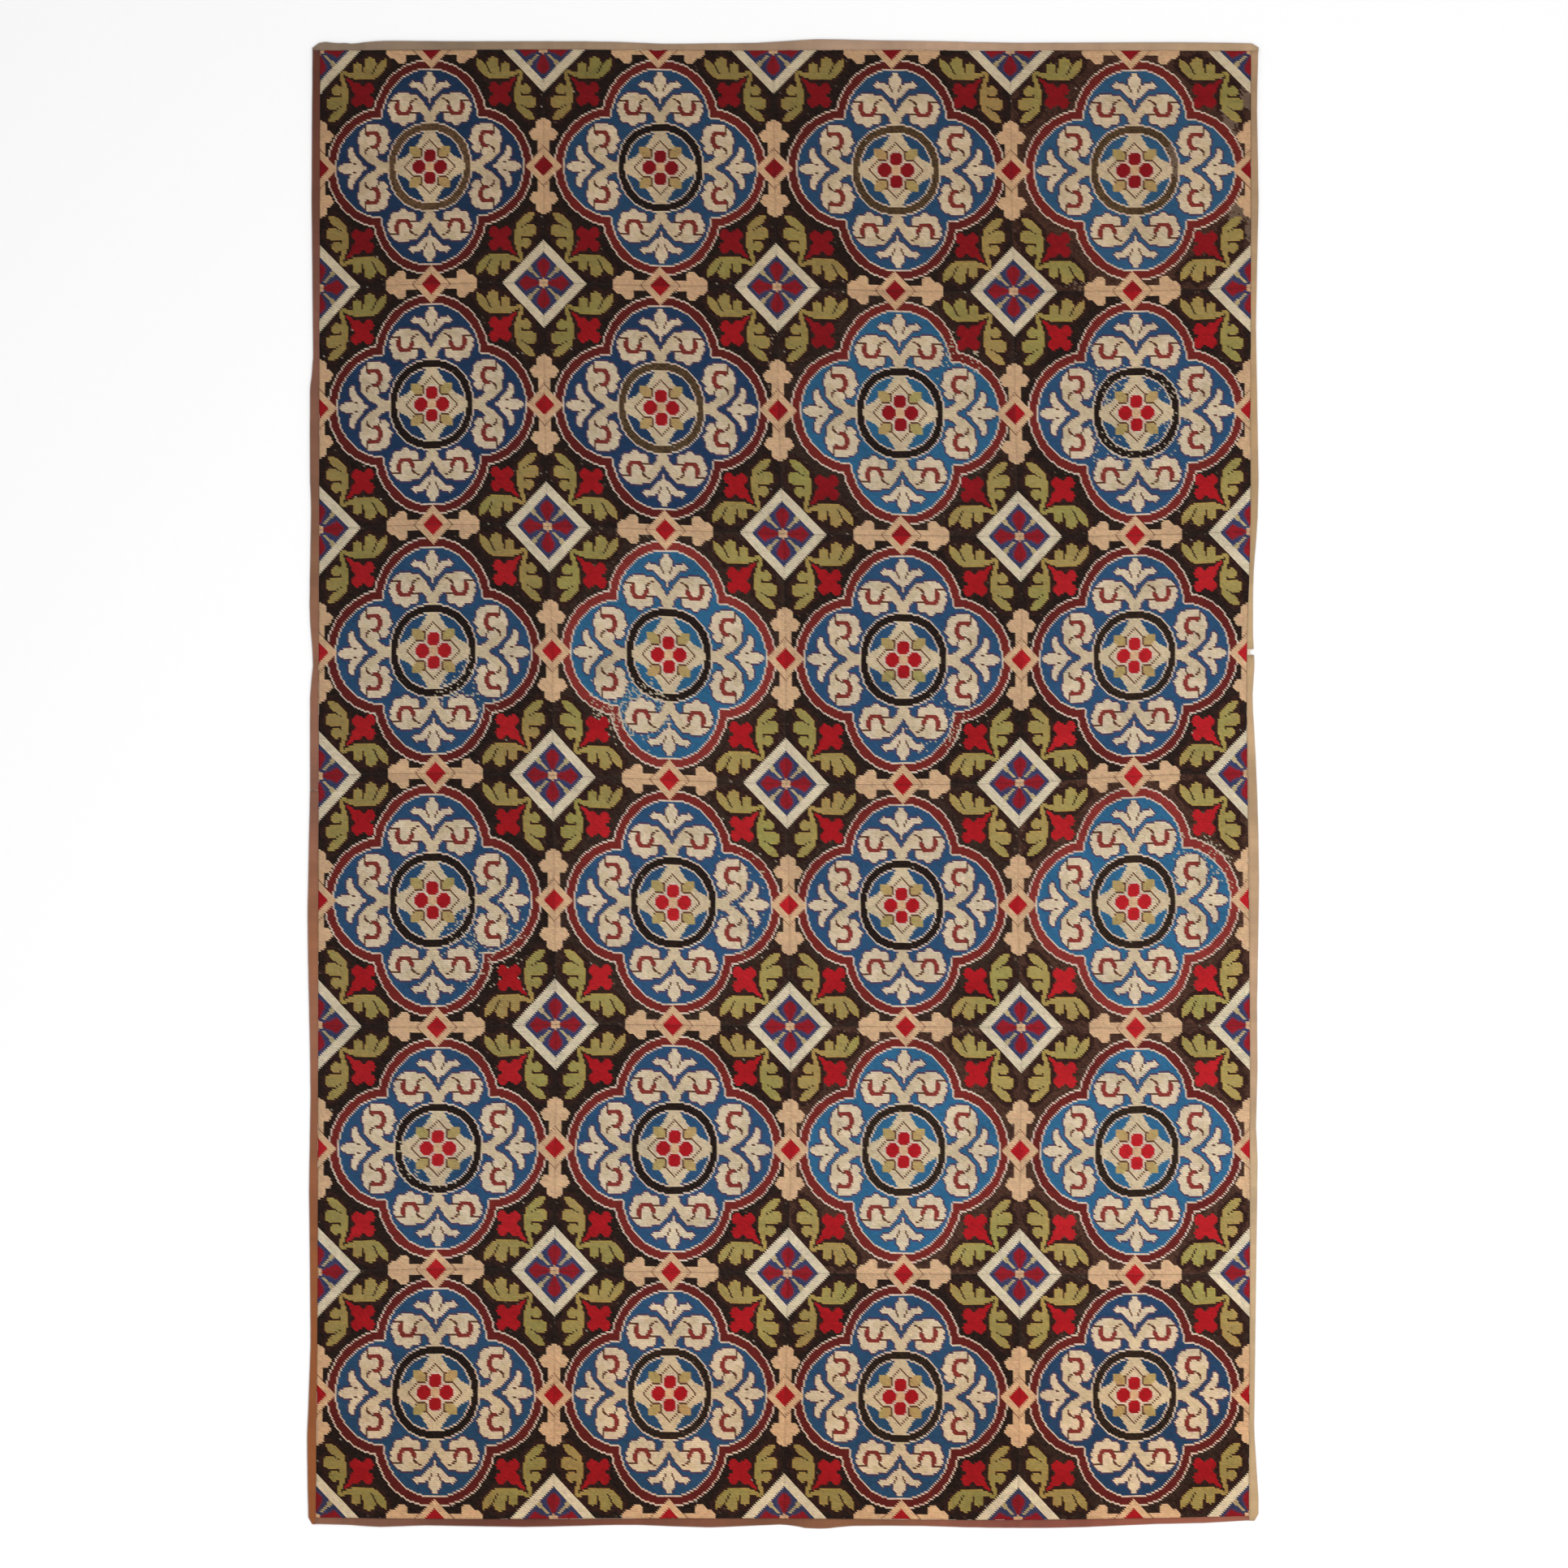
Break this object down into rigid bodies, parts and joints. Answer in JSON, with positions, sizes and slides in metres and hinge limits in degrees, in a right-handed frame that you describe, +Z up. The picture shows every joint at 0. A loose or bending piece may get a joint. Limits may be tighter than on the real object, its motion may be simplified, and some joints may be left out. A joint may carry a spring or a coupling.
{
  "type": "needlepoint rug",
  "caption": "Large flat needlepoint rug of square stitched panels sewn edge to edge, with a medallion, leaf and lozenge repeat, bound with folded tape.",
  "frame": {"origin": "middle of the rug's outline, on the floor it lies on", "axes": "+Y along the length to the top edge of the pattern, +X to the right edge, +Z up from the floor, out of the stitched face"},
  "size_m": [1.9, 2.9722, 0.0041],
  "materials": {
    "needlepoint": "wool tent stitch on canvas, matte, near-black brown ground with red, blue, cream and olive motifs",
    "tan_tape": "woven tape, matte, tan, faded unevenly",
    "rust_tape": "woven tape, matte, rust brown, faded unevenly"
  },
  "bodies": {
    "root": {"panel_r1_c1": "needlepoint", "panel_r1_c2": "needlepoint", "panel_r1_c3": "needlepoint", "panel_r1_c4": "needlepoint", "panel_r2_c1": "needlepoint", "panel_r2_c2": "needlepoint", "panel_r2_c3": "needlepoint", "panel_r2_c4": "needlepoint", "panel_r3_c1": "needlepoint", "panel_r3_c2": "needlepoint", "panel_r3_c3": "needlepoint", "panel_r3_c4": "needlepoint", "panel_r4_c1": "needlepoint", "panel_r4_c2": "needlepoint", "panel_r4_c3": "needlepoint", "panel_r4_c4": "needlepoint", "panel_r5_c1": "needlepoint", "panel_r5_c2": "needlepoint", "panel_r5_c3": "needlepoint", "panel_r5_c4": "needlepoint", "panel_r6_c1": "needlepoint", "panel_r6_c2": "needlepoint", "panel_r6_c3": "needlepoint", "panel_r6_c4": "needlepoint", "binding_top": "tan_tape", "binding_right_upper": "tan_tape", "binding_right_lower": "tan_tape", "binding_left": "rust_tape", "binding_bottom": "rust_tape"}
  },
  "joints": []
}
